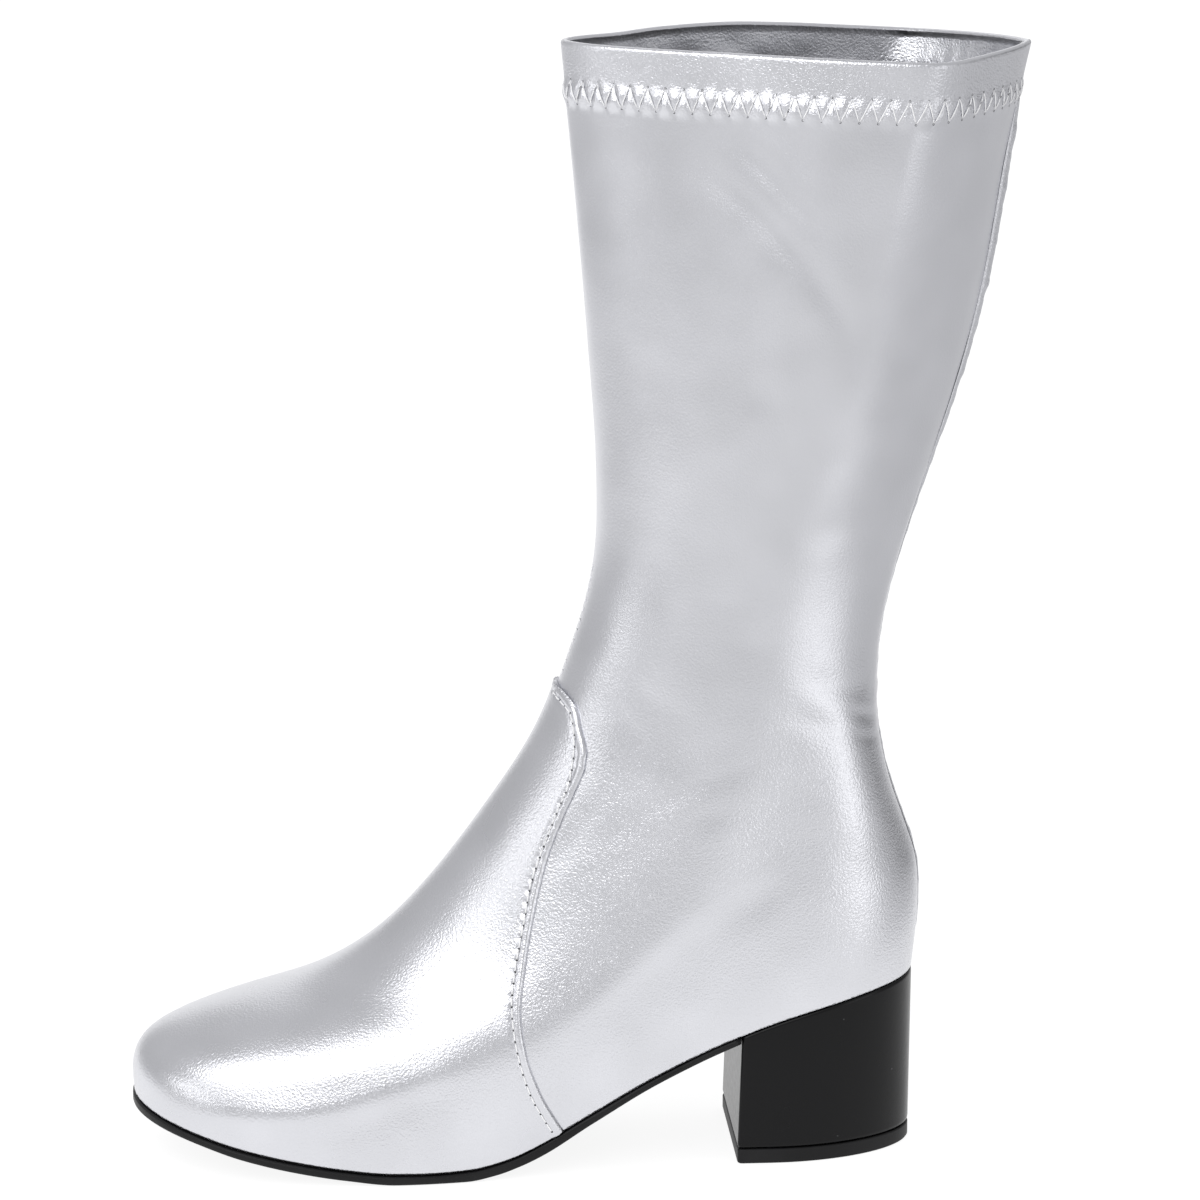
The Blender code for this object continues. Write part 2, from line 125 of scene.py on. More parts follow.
VAMP_EDGE = ((-5, 3.0), (10, -4.5), (17, -8.9), (28, -14.8), (41, -19.1), (53, -20.6), (67, -18.9),
             (82, -16.2), (98, -12.2), (109, -8.1), (119, -3.6), (128, 0.1), (133, 0.7), (140, -0.8),
             (145, -1.8), (148, -4.3), (149.6, -6.6), (150.6, -9.5))
VAMP_STITCH = ((9, -8.0), (14.5, -11.2), (19.8, -14.3), (26.7, -17.8), (36.3, -20.9), (47.2, -23.0),
               (55, -23.5), (66.3, -22.0), (72.6, -20.7), (80, -19.0), (90.9, -16.8), (101.1, -13.1),
               (108.1, -10.3), (115.1, -7.5), (121.6, -4.6), (129.3, -3.0), (134.2, -2.4), (138.8, -2.5),
               (142.8, -3.1), (144.4, -4.4), (146, -6.4), (147.5, -8.6))
STRIP_LINE = ((70, 1.2), (170, 1.2), (205, -0.2), (240, -1.2), (290, -1.4), (332, -0.8))
STRIP_HEIGHT = ((70, 0.35), (190, 0.4), (240, 1.3), (290, 1.8), (316, 1.6), (327, 0.9), (332, 0.4))
STRIP_HALF_WIDTH = 4.5

# Rounded edges of the sole and insole from the bottom up: inset and lift
SOLE_LOW_EDGE = ((1.6, 0.0), (0.7, 0.05), (0.2, 0.3), (0.0, 0.8))
SOLE_TOP_EDGE = ((0.0, -0.7), (0.15, -0.3), (0.5, -0.05), (1.2, 0.0))
INSOLE_EDGE = ((1.5, 0.0), (0.3, 0.3), (0.0, 1.2), (0.2, 3.0), (0.9, 3.4), (2.4, 3.1), (6.0, 2.5),
               (12.0, 2.2))

# The heel's outlines as share of its height and inset, and its lift's as height and inset
HEEL_ROWS = ((0.0, 0.5), (0.012, 0.15), (0.03, 0.0), (0.25, 0.0), (0.5, 0.0), (0.75, 0.0), (0.97, 0.0),
             (0.99, 0.15), (1.0, 0.6))
LIFT_ROWS = ((0.0, 0.7), (0.12, 0.25), (0.5, 0.0), (4.3, 0.0), (4.7, 0.2), (4.8, 0.7))

# The upper's rows under the foot as inset and lift, and its materials
MARGIN_ROWS = ((MARGIN_WIDTH, 0.0), (0.5, 0.0), (0.1, 0.15))
SKIN, LINING, HEM = range(3)

# How finely things are meshed
SIDE_COLUMNS = 280
END_DENSITY = 0.35
DENSE_SAMPLES = 900
ROW_STEP = 2.0
HEM_ROWS = 34
FACING_STEP = 3
LINING_STEP = 6
RIM_ANGLES = range(22, 180, 22)
EDGE_SAMPLES = 420
STITCH_SAMPLES = 260
STRIP_STEP = 0.9
STRIP_COLUMNS = 17
SOLE_STATIONS = 150
HEEL_STATIONS = 90
INSOLE_STATIONS = 130
STITCH_POINTS = 7
THREAD_SIDES = 6
HOLE_SIDES = 8
COLLAR = len(SECTIONS) - 1

# Creases of the outer and inner side: half width, depth, and line in the side view
CREASES = {
    -1: (
        (5.5, 0.46, ((34, 317), (52, 302), (73, 277), (86, 255))),
        (4.2, 0.34, ((44, 325), (55, 313), (66, 300))),
        (9.0, 0.22, ((20, 293), (24, 266), (23, 235))),
        (7.0, 0.32, ((46, 247), (61, 244))),
        (7.0, 0.34, ((58, 225), (80, 229))),
        (7.0, 0.30, ((62, 201), (81, 207))),
        (6.0, 0.20, ((51, 215), (65, 216))),
        (5.0, 0.36, ((69, 158), (88, 150))),
        (5.0, 0.30, ((61, 147), (79, 139))),
        (2.6, 0.20, ((80, 146), (92, 141))),
        (2.2, 0.14, ((82, 138), (93, 134))),
        (4.6, 0.40, ((5, 119), (-3, 108), (-9, 99), (-13, 92))),
        (5.0, 0.20, ((16, 111), (5, 107), (-5, 101))),
        (3.8, 0.16, ((5, 149), (11, 143), (19, 135))),
        (4.4, 0.14, ((12, 154), (32, 145))),
        (4.0, 0.20, ((8, 109), (32, 124), (55, 132))),
        (4.6, 0.20, ((4, 97), (35, 114), (66, 119))),
        (6.0, 0.14, ((58, 111), (84, 98))),
        (6.5, 0.20, ((35, 77), (66, 94))),
        (3.2, 0.08, ((32, 183), (54, 180))),
        (3.2, 0.08, ((35, 170), (61, 167))),
    ),
    1: (
        (6.0, 0.20, ((30, 310), (60, 285), (80, 262))),
        (7.0, 0.15, ((25, 270), (28, 240))),
        (4.0, 0.24, ((70, 146), (92, 143))),
        (4.0, 0.22, ((66, 136), (90, 129))),
        (4.6, 0.32, ((6, 118), (-4, 106), (-12, 93))),
        (4.4, 0.16, ((10, 150), (30, 138))),
        (5.0, 0.15, ((8, 104), (36, 118), (60, 124))),
        (6.5, 0.15, ((36, 80), (66, 92))),
    ),
}

# How creases and waves fade: from side to side, near the foot and under the hem
SIDE_BLEND = 16.0
CALM_FROM, CALM_RANGE, CALM_LEAST = 70.0, 40.0, 0.25
CREASE_DEPTH, CREASE_RANGE = 19.0, 8.0

# The vamp's swell low round the toe, along a line of the side view
TOE_SWELL_WIDTH = 6.0
TOE_SWELL_HEIGHT = 0.75
TOE_SWELL_LINE = ((-131, 20), (-119, 21), (-105, 21.5), (-91, 22), (-77, 24.5), (-64, 29), (-50, 34),
                  (-40, 37))

# Soft uneven waves: height, wavelength and seed, and on the strip how far each axis counts
UPPER_WAVES = ((0.09, 34.0, 3), (0.02, 13.0, 4))
PUFF_WAVES = ((0.22, 11.0, 31),)
FACING_WAVES = ((0.35, 16.0, 21), (0.12, 6.0, 22))
FACING_FROM, FACING_RANGE = 2.0, 6.0
STRIP_WAVES = ((0.08, 3.4, 11, (0.3, 0.3, 1.0)), (0.08, 7.0, 12, (0.2, 0.5, 1.0)))
WAVE_COUNT = 7
WAVE_SCALE = 2.6

# The strip's pucker: height, level and reach
STRIP_PUCKER = ((0.4, 275.0, 2.2), (-0.3, 271.0, 2.5))

# The hem's zigzag stitch, and how it pulls the hem in
ZIGZAG_DEPTH = 15.2
ZIGZAG_REACH = 3.5
ZIGZAG_COUNT = 62
ZIGZAG_PITCH = 6.1
STITCH_PULL = 0.75
PULL_WIDTH = 0.85
PULL_BAND = 6.0

# The hem's height by depth below its edge, and its lean and its puffs' share by place along the boot
HEM_SHAPE = ((0, -0.2), (4, -0.2), (9.5, -0.2), (11.2, -0.08), (12.6, 0.3), (14.6, 0.95), (16.4, 1.05),
             (18.2, 0.6), (19.8, 0.15), (21.5, 0), (30, 0))
COLLAR_LEAN = ((-6, 0.1), (6, 0.3), (30, 0.25), (60, 0.25), (80, 0.4), (100, 0.5), (118, -0.3), (138, 0.0))
LEAN_DEPTH = 11.0
LEAN_BLEND = 20.0
PUFF_SHARE = ((-6, 0.7), (8, 1.0), (20, 1.1), (66, 1.0), (80, 0.75), (92, 0.45), (138, 0.4))

# The vamp's turned edge: distance from the edge, and height above the upper
EDGE_SHAPE = ((0, 0.15), (0.25, 0.8), (0.6, 1.2), (1.1, 1.45), (1.8, 1.45), (2.3, 1.25), (2.8, 1.05),
              (3.3, 1.15), (4.2, 1.2), (7, 1.15), (400, 1.1))
EDGE_STEPS = (0.0, 0.2, 0.45, 0.8, 1.2, 1.6, 2.0, 2.4, 2.8, 3.2, 3.7, 4.4, 5.4, 7.0)
EDGE_ROOM = 24.0
GROOVE_FROM, GROOVE_RANGE, GROOVE_WIDEN = 34.0, 20.0, 0.55
VAMP_FILL = 34
VAMP_ROW_STEP = 0.62
VAMP_FOLLOW = 4.0
VAMP_TUCK = 1.2

# Stitches and needle holes: thread radius and height of the arch, and radius of the dark disc of painted
# shade in each of the holes
THREADS = {"zigzag": (0.22, 0.48), "inside": (0.24, 0.35), "vamp": (0.27, 0.30), "seam": (0.24, 0.3)}
HOLES = {"zigzag": 0.36, "vamp": 0.34}
STITCH_PITCH = 3.5
STITCH_SINK = 0.12
THREAD_END = 0.45
NEEDLE_PIT = 0.3
NEEDLE_REACH = 0.8

# The front seam's stitches above the throat, from and to these heights
SEAM_FROM, SEAM_TO = 152.5, 186.0
SEAM_PITCH = 3.3
SEAM_STITCH = 2.3
SEAM_OFFSET = 1.3
SEAM_OUT = (-0.93, -0.3, -0.2)

# Silver coatings: grain by the foot, grain up the shaft, and roughness
SILVERS = {"silver_stretch": (0.7, 0.24, 0.30), "silver_vamp": (0.5, 0.4, 0.28),
           "silver_hem": (0.8, 0.8, 0.30), "silver_strip": (1.0, 1.0, 0.30)}
SILVER_SWING = 0.04
GRAIN_HEIGHT = 0.00025
GRAIN_FROM, GRAIN_TO = 0.10, 0.20

# Lights in metres and watts: name, place, aim, width, height, power, roll and beam in degrees
LIGHTS = (
    ("key", (-0.66, -0.99, 1.05), (-0.05, 0.0, 0.06), 1.6, 0.82, 10.0, -22.0, 180.0),
    ("left", (-1.65, -0.67, 0.5), (0.0, 0.0, 0.1), 0.9, 0.34, 1.6, 0.0, 180.0),
    ("right", (1.16, -1.14, 0.2), (0.06, 0.0, 0.12), 1.05, 0.5, 1.4, 0.0, 180.0),
    ("low", (0.40, -0.33, 0.02), (0.084, -0.03, 0.085), 0.26, 0.12, 0.0065, 0.0, 42.0),
)

# The tent's brightness from a little below the horizon to overhead, and its dim gap
TENT_LOW = -0.4
TENT_BLUE = 1.01
TENT_STOPS = ((0.0, 0.68), (0.18, 0.67), (0.286, 0.64), (0.314, 0.57), (0.5, 0.59), (0.68, 0.63), (1.0, 0.65))
DIM_SCALE = (1.2, 1.2, 4.5)
DIM_SHIFT = (-1.11, -0.45, -0.05)
DIM_LEAST = 0.08

# The floor in metres: places in depth, its curve, x of its edges by depth, and its glow
FLOOR_PLACES = (-2.6, -1.5, -1.1, -0.36, -0.14, 0.0, 1.2)
FLOOR_CURVE = range(6, 91, 6)
FLOOR_END = (2.2, 4.0)
FLOOR_LEFT = ((-2.6, -1.4), (-1.5, -1.4), (-1.1, -0.85), (2.2, -0.85))
FLOOR_RIGHT = ((-2.6, 0.43), (-0.36, 0.43), (-0.14, 0.27), (0.0, 0.27), (2.2, 0.67))
FLOOR_DROP = 0.0002
GLOW_SCALE = (3.536, 5.893, 1.0)
GLOW_SHIFT = (-0.667, 0.0, 0.0)
GLOW_TURN = 45
GLOW_RANGE = (0.89, 0.62)


def smooth(table, at):
    """Monotone cubic curve through a table of (place, value) rows, read at one or many places."""
    xs, ys = np.array(table, float).T
    steps = np.diff(xs)
    secants = np.diff(ys) / steps
    slopes = np.zeros(len(xs))
    slopes[0], slopes[-1] = secants[0], secants[-1]
    for i in range(1, len(xs) - 1):
        before, after = secants[i - 1], secants[i]
        if before * after > 0:
            slopes[i] = 2 * before * after / (before + after)
    at = np.clip(np.asarray(at, float), xs[0], xs[-1])
    i = np.clip(np.searchsorted(xs, at) - 1, 0, len(xs) - 2)
    h = steps[i]
    t = (at - xs[i]) / h
    return ((1 + 2 * t) * (1 - t) ** 2 * ys[i] + t * (1 - t) ** 2 * h * slopes[i]
            + t * t * (3 - 2 * t) * ys[i + 1] + t * t * (t - 1) * h * slopes[i + 1])


def soften(values, sigma):
    """Blurs a curve's samples, keeping its two ends."""
    reach = int(3 * sigma)
    kernel = np.exp(-0.5 * (np.arange(-reach, reach + 1) / sigma) ** 2)
    before = 2 * values[0] - values[reach:0:-1]
    after = 2 * values[-1] - values[-2:-reach - 2:-1]
    return np.convolve(np.concatenate((before, values, after)), kernel / kernel.sum(), "valid")


def unit(vectors):
    return vectors / np.maximum(norm(vectors, axis=-1, keepdims=True), 1e-9)


def lengths(points):
    """Length of each step along a line of points."""
    return norm(np.diff(points, axis=0), axis=1)


def running(steps):
    """Running total of steps, from 0."""
    return np.concatenate(([0], np.cumsum(steps)))


def along(places, run, points):
    """Points at places along a line, given the way run at each of its points."""
    return np.column_stack([np.interp(places, run, column) for column in points.T])


def rounded_shares(count):
    """Shares from 0 to 1, closer together at both ends."""
    return (1 - np.cos(np.linspace(0, np.pi, count))) / 2


@cache
def section_curves():
    """Each size of the sections as a soft curve over the table's height."""
    places = np.arange(len(SECTIONS))
    fine = np.linspace(0, COLLAR, 100 * COLLAR + 1)
    rows = np.array(SECTIONS, float)
    curves = {}
    for i, name in enumerate(COLUMNS):
        curves[name] = soften(smooth(np.column_stack((places, rows[:, i])), fine), 35)
    return fine, curves


@cache
def section(v):
    """Sizes of the section at a height of the table."""
    fine, curves = section_curves()
    return SimpleNamespace(**{name: float(np.interp(v, fine, curve)) for name, curve in curves.items()})


def cap(distance, length, power):
    """How far a rounded end has opened at a distance from its tip, from 0 to 1."""
    t = np.clip(distance / length, 0.0, 1.0)
    return (1 - (1 - t) ** power) ** (1 / power)


def arch(s):
    """The feather edge's height above the straight line between its ends."""
    first = section(0)
    x = first.back_x + (first.front_x - first.back_x) * s
    line = first.back_z + (first.front_z - first.back_z) * s
    return smooth(UPPER_UNDERSIDE, x) + FEATHER_ROUND - line


def outline(v, s, inset=0.0):
    """Place, centre, half width and height of a section, at shares s of its way from back to front."""
    row = section(v)
    back_x, front_x = row.back_x - inset, row.front_x + inset
    x = back_x + (front_x - back_x) * s
    z = row.back_z + (row.front_z - row.back_z) * s + row.bow * arch(s)
    length = np.hypot(back_x - front_x, row.back_z - row.front_z)
    widths = (row.heel, row.heel, row.waist, row.ball, row.ball)
    spread = row.spread * smooth(SPREAD_LINE, s)
    half = smooth(tuple(zip(WIDTH_STATIONS, widths)), s) + spread / 2 - inset
    half = half * cap(s * length, row.back_cap - inset, row.back_power)
    half = half * cap((1 - s) * length, row.front_cap - inset, row.front_power)
    return x, row.swing * smooth(CENTRE_LINE, s) - spread / 2, half, z


@cache
def side_line(v, side, inset=0.0):
    """Close points along one side of a section from back to front, and the way run at each."""
    s = rounded_shares(DENSE_SAMPLES)
    x, centre, half, z = outline(v, s, inset)
    z = z + section(v).wave * smooth(OUTER_WAVE if side < 0 else INNER_WAVE, s)
    points = np.column_stack((x, centre + side * soften(half, 14), z))
    return points, running(lengths(points))


def at_ways(v, side, ways, inset=0.0):
    """Points of a section at ways along it from the back."""
    points, run = side_line(v, side, inset)
    return along(ways, run, points)


def on_side(heights, side, ways):
    """One point of each section, each at its own way from the back."""
    return np.array([at_ways(v, side, [w])[0] for v, w in zip(heights, ways)])


def ring(v, inset=0.0):
    """A closed section: back, outer side, front, inner side."""
    t = np.linspace(0, 1, SIDE_COLUMNS + 1)
    shares = t - END_DENSITY * np.sin(2 * np.pi * t) / (2 * np.pi)
    sides = [at_ways(v, side, shares * side_line(v, side, inset)[1][-1], inset) for side in (-1, 1)]
    return np.vstack((sides[0], sides[1][-2:0:-1]))


def normals(grid, closed):
    """Outward normals of rows of points that run back, outer side, front, inner side."""
    if closed:
        across = np.roll(grid, -1, axis=1) - np.roll(grid, 1, axis=1)
    else:
        across = np.gradient(grid, axis=1)
    return unit(np.cross(np.gradient(grid, axis=0), across))


def trough(points, width, depth, line):
    """A soft trough along a line of the side view, with low shoulders, fading out at its ends."""
    flat = points[..., [0, 2]]
    line = np.array(line, float)
    steps = lengths(line)
    starts = running(steps) / steps.sum()
    nearest = np.full(flat.shape[:-1], 1e9)
    share = np.zeros(flat.shape[:-1])
    for a, b, first, last in zip(line, line[1:], starts, starts[1:]):
        t = np.clip((flat - a) @ (b - a) / ((b - a) @ (b - a)), 0, 1)
        distance = norm(flat - a - t[..., None] * (b - a), axis=-1)
        share = np.where(distance < nearest, first + (last - first) * t, share)
        nearest = np.minimum(distance, nearest)
    q = (nearest / width) ** 2
    fade = np.clip(np.sin(np.pi * np.clip(share, 0.03, 0.97)), 0, 1) ** 0.6
    return -depth * (1 - 0.8 * q) * np.exp(-q) * fade


def ripple(points, wave, seed):
    """Soft irregular waves of about unit height."""
    rng = np.random.default_rng(seed)
    total = np.zeros(points.shape[:-1])
    for _ in range(WAVE_COUNT):
        direction = rng.normal(size=3)
        direction *= rng.uniform(0.7, 1.4) * 2 * np.pi / wave / norm(direction)
        total += np.sin(points @ direction + rng.uniform(0, 2 * np.pi))
    return total / WAVE_SCALE


def waves(points, table):
    """Soft waves of several lengths together."""
    return sum(height * ripple(points, wave, seed) for height, wave, seed in table)


def crease_relief(points):
    """Height of the creases and soft waves of the stretch upper."""
    calm = np.clip((points[..., 2] - CALM_FROM) / CALM_RANGE, CALM_LEAST, 1)
    relief = waves(points, UPPER_WAVES) * calm
    for side, creases in CREASES.items():
        share = np.clip(0.5 + side * points[..., 1] / SIDE_BLEND, 0, 1)
        for crease in creases:
            relief = relief + share * trough(points, *crease)
    return relief


def zigzag_offset(way):
    """The zigzag's height about its middle, from -1 to 1, at a share of the way round the collar."""
    t = (way * ZIGZAG_COUNT) % 1.0
    return 1 - 4 * np.abs(t - 0.5)


def hem_relief(points, depth, way):
    """Height of the hem: puffs held down along the zigzag stitch, and a collar that leans in and out."""
    steep = ZIGZAG_PITCH / 2 / np.hypot(ZIGZAG_PITCH / 2, 2 * ZIGZAG_REACH)
    off = np.abs(depth - ZIGZAG_DEPTH - ZIGZAG_REACH * zigzag_offset(way)) * steep
    band = np.clip(1 - np.abs(depth - ZIGZAG_DEPTH) / PULL_BAND, 0, 1) ** 0.5
    puffs = smooth(HEM_SHAPE, depth) - STITCH_PULL * band * np.exp(-(off / PULL_WIDTH) ** 2)
    puffs = puffs * smooth(PUFF_SHARE, points[..., 0]) * (1 + waves(points, PUFF_WAVES))
    outer = np.clip(0.5 - points[..., 1] / LEAN_BLEND, 0, 1)
    return puffs + outer * smooth(COLLAR_LEAN, points[..., 0]) * np.clip(1 - depth / LEAN_DEPTH, 0, 1)


def row_heights():
    """Table heights of the upper's rows, closer together in the hem."""
    rise = SECTIONS[-1][1] - SECTIONS[-2][1]
    hem_start, top = COLLAR - HEM_ZONE / rise, COLLAR - RIM_RADIUS / rise
    heights = []
    for i, (low, high) in enumerate(zip(SECTIONS, SECTIONS[1:])):
        back = np.hypot(high[0] - low[0], high[1] - low[1])
        front = np.hypot(high[2] - low[2], high[3] - low[3])
        count = max(4, int(round(max(back, front) / ROW_STEP)))
        heights += [h for h in np.linspace(i, i + 1, count, endpoint=False) if h < hem_start - 0.02]
    return heights, list(np.linspace(hem_start, top, HEM_ROWS))


def add_object(name, data):
    obj = bpy.data.objects.new(name, data)
    bpy.context.scene.collection.objects.link(obj)
    return obj


def mesh_object(name, points, faces, materials, indices=None):
    """A smooth mesh object in metres."""
    mesh = bpy.data.meshes.new(name)
    mesh.from_pydata(((np.asarray(points) + SHIFT) * MM).tolist(), [], faces)
    for material in materials:
        mesh.materials.append(material)
    if indices is not None:
        mesh.polygons.foreach_set("material_index", indices)
    mesh.shade_smooth()
    return add_object(name, mesh)


def band_faces(low, high, closed):
    """Faces between two rows of point numbers, one of which may have twice as many as the other."""
    faces = []
    count = min(len(low), len(high))
    for k in range(count if closed else count - 1):
        n = (k + 1) % count
        if len(low) == len(high):
            faces.append((low[k], high[k], high[n], low[n]))
        elif len(high) > len(low):
            middle = high[2 * k + 1]
            faces += [(low[k], high[2 * k], middle), (low[k], middle, low[n])]
            faces.append((low[n], middle, high[2 * n]))
        else:
            middle = low[2 * k + 1]
            faces += [(high[k], middle, low[2 * k]), (high[k], high[n], middle)]
            faces.append((high[n], low[2 * n], middle))
    return faces


def upper_skin():
    """The upper's outer face: base grid, its normals, depth below the edge, way round, and final grid."""
    low, hem = row_heights()
    base = np.array([ring(v) for v in low + hem])
    out = normals(base, closed=True)
    steps = norm(np.diff(base, axis=0), axis=2)
    depth = np.zeros(base.shape[:2])
    depth[:-1] = np.cumsum(steps[::-1], axis=0)[::-1]
    depth += RIM_RADIUS
    line = base[-HEM_ROWS // 2]
    legs = norm(np.roll(line, -1, axis=0) - line, axis=1)
    way = running(legs)[:-1] / legs.sum()
    relief = crease_relief(base) * np.clip((depth - CREASE_DEPTH) / CREASE_RANGE, 0, 1)
    relief = relief + hem_relief(base, depth, way[None, :])
    return SimpleNamespace(base=base, out=out, depth=depth, way=way, low=len(low),
                           skin=base + out * relief[..., None])


def rim_rows(skin):
    """Rows that roll over the collar's edge from the outer face to the inner one."""
    edge, out = skin.skin[-1], skin.out[-1].copy()
    out[:, 2] = 0
    out = unit(out)
    up = unit(skin.base[-1] - skin.base[-3])
    centre = edge - out * RIM_RADIUS
    return [centre + RIM_RADIUS * (out * np.cos(a) + up * np.sin(a)) for a in np.radians(RIM_ANGLES)]


def hem_facing(skin):
    """The hem's inner face, a little uneven below the collar's edge."""
    depth = skin.depth.mean(axis=1)[:, None]
    uneven = waves(skin.base, FACING_WAVES) * np.clip((depth - FACING_FROM) / FACING_RANGE, 0, 1)
    return skin.base - skin.out * (HEM_WALL + uneven)[..., None]


def margin(inset, lift):
    """A row of the upper under the foot."""
    points = ring(0, inset)[::2]
    points[:, 2] = smooth(UPPER_UNDERSIDE, points[:, 0]) + lift
    return points


def make_upper(skin, silver, lining, hem):
    """One closed shell: outer face, rolled collar, hem facing, lining, and the margin under the foot."""
    base, out, low = skin.base, skin.out, skin.low
    depth = skin.depth.mean(axis=1)
    rows = [margin(*row) for row in MARGIN_ROWS]
    rows += [row[::2] for row in skin.skin[:low]]
    kinds = [SKIN] * len(rows) + [SKIN if d > HEM_DEPTH - 0.5 else HEM for d in depth[low:]]
    rows += list(skin.skin[low:])
    rows += rim_rows(skin)
    facing = [i for i in range(len(base) - 1, 0, -1) if depth[i] < HEM_DEPTH][::FACING_STEP]
    rows += list(hem_facing(skin)[facing])
    kinds += [HEM] * (len(rows) - len(kinds))
    rows += [(base[i] - out[i] * WALL)[::2] for i in range(facing[-1] - 1, 0, -LINING_STEP)]
    rows += [margin(FEATHER_ROUND + WALL, WALL), margin(MARGIN_WIDTH, WALL)]
    kinds += [LINING] * (len(rows) - len(kinds))
    starts = running([len(row) for row in rows])
    numbers = [list(range(a, b)) for a, b in zip(starts, starts[1:])]
    faces, indices = [], []
    for k, kind in enumerate(kinds):
        band = band_faces(numbers[k], numbers[(k + 1) % len(rows)], closed=True)
        faces += band
        indices += [kind] * len(band)
    return mesh_object("upper_skin", np.vstack(rows), faces, (silver, lining, hem), indices)


def on_hem(skin, grid, ways, depths):
    """Points of a grid of the upper at shares of the way round and depths below the edge."""
    found = []
    columns = np.interp(ways % 1.0, np.append(skin.way, 1.0), np.arange(len(skin.way) + 1))
    for column, d in zip(columns, depths):
        left = int(column) % grid.shape[1]
        right = (left + 1) % grid.shape[1]
        row = np.interp(-d, -skin.depth[skin.low:, left], np.arange(HEM_ROWS)) + skin.low
        low = min(int(row), len(grid) - 2)
        t, u = row - low, column - int(column)
        found.append((grid[low, left] * (1 - t) + grid[low + 1, left] * t) * (1 - u)
                     + (grid[low, right] * (1 - t) + grid[low + 1, right] * t) * u)
    return np.array(found)


def tubes(name, paths, radius, material):
    """Many short threads as one mesh, each a tube along its path with narrow closed ends."""
    points, faces, sides = [], [], THREAD_SIDES
    angles = np.linspace(0, 2 * np.pi, sides, endpoint=False)
    for path in paths:
        ahead = unit(np.gradient(path, axis=0))
        side = unit(np.cross(ahead, np.where(np.abs(ahead[:, 2:]) < 0.9, (0, 0, 1), (1, 0, 0))))
        up = np.cross(side, ahead)
        girth = np.full(len(path), radius)
        girth[[0, -1]] *= THREAD_END
        first = len(points)
        for p, s, u, g in zip(path, side, up, girth):
            points += [p + g * (s * np.cos(a) + u * np.sin(a)) for a in angles]
        for low in range(first, len(points) - sides, sides):
            for i in range(sides):
                a, b = low + i, low + (i + 1) % sides
                faces.append((a, b, b + sides, a + sides))
        faces.append(tuple(range(first + sides - 1, first - 1, -1)))
        faces.append(tuple(range(len(points) - sides, len(points))))
    return mesh_object(name, points, faces, (material,))


def dots(name, places, directions, radius, material):
    """Needle holes as one mesh of small dished discs, dark with painted shade."""
    points, faces = [], []
    angles = np.linspace(0, 2 * np.pi, HOLE_SIDES, endpoint=False)
    for place, direction in zip(places, unit(directions)):
        side = unit(np.cross(direction, (0.31, 0.52, 0.79)))
        other = np.cross(direction, side)
        first = len(points)
        points.append(place - direction * STITCH_SINK)
        points += [place + radius * (side * np.cos(a) + other * np.sin(a)) for a in angles]
        faces += [(first, first + 1 + k, first + 1 + (k + 1) % HOLE_SIDES) for k in range(HOLE_SIDES)]
    return mesh_object(name, points, faces, (material,))


def arched(path, out, lift):
    """A stitch's path, its ends sunk a little and its middle lifted off the surface."""
    t = np.linspace(0, 1, len(path))
    return path + out * (lift * (4 * t * (1 - t)) ** 0.5 - STITCH_SINK)[:, None]


def make_zigzag(skin, thread, hole_shade):
    """The hem's zigzag stitch outside and inside, and its needle holes as dark discs of painted shade."""
    radius, lift = THREADS["zigzag"]
    back_radius, back_lift = THREADS["inside"]
    tips = np.arange(2 * ZIGZAG_COUNT + 1) / (2 * ZIGZAG_COUNT)
    share = np.linspace(0.03, 0.97, STITCH_POINTS)
    paths, back = [], []
    inner = hem_facing(skin)
    for a, b in zip(tips, tips[1:]):
        ways = a + (b - a) * share
        depths = ZIGZAG_DEPTH + ZIGZAG_REACH * zigzag_offset(ways)
        out = on_hem(skin, skin.out, ways, depths)
        paths.append(arched(on_hem(skin, skin.skin, ways, depths), out, lift))
        back.append(arched(on_hem(skin, inner, ways, depths), -out, back_lift))
    depths = ZIGZAG_DEPTH + ZIGZAG_REACH * zigzag_offset(tips[:-1]) * 1.02
    out = on_hem(skin, skin.out, tips[:-1], depths)
    places = on_hem(skin, skin.skin, tips[:-1], depths) + out * 0.05
    return (tubes("zigzag_thread", paths, radius, thread),
            tubes("zigzag_thread_inside", back, back_radius, thread),
            dots("zigzag_holes", places, out, HOLES["zigzag"], hole_shade))


def meeting_ways(line, side, heights):
    """Ways from the back at which a side of each section meets a line of the side view."""
    ways = []
    for v in heights:
        points, run = side_line(v, side)
        gap = points[:, 0] - smooth(line, points[:, 2])
        k = np.nonzero(gap > 0)[0][-1]
        if k == len(gap) - 1:
            ways.append(run[-1])
        else:
            ways.append(run[k] + gap[k] / (gap[k] - gap[k + 1]) * (run[k + 1] - run[k]))
    return np.array(ways)


def throat_height(line):
    """Table height at which a line of the side view meets the front of the boot."""
    low, high = 8.0, 10.0
    for _ in range(40):
        middle = (low + high) / 2
        row = section(middle)
        inside = row.front_x < smooth(line, row.front_z) and row.front_z < line[-1][0]
        low, high = (middle, high) if inside else (low, middle)
    return low


def vamp_rows():
    """Table heights of the vamp's rows, evenly spaced along its edge, and the edge's ways on both sides."""
    dense = np.linspace(0, throat_height(VAMP_EDGE) - 1e-3, EDGE_SAMPLES)
    ways = {side: meeting_ways(VAMP_EDGE, side, dense) for side in (-1, 1)}
    edges = {side: on_side(dense, side, ways[side]) for side in (-1, 1)}
    run = running(sum(lengths(edges[side]) for side in (-1, 1)) / 2)
    places = np.linspace(0, run[-1], int(run[-1] / VAMP_ROW_STEP))
    heights = np.interp(places, run, dense)
    picked = {side: np.interp(heights, dense, ways[side]) for side in (-1, 1)}
    return heights, picked, np.vstack((edges[-1], edges[1]))


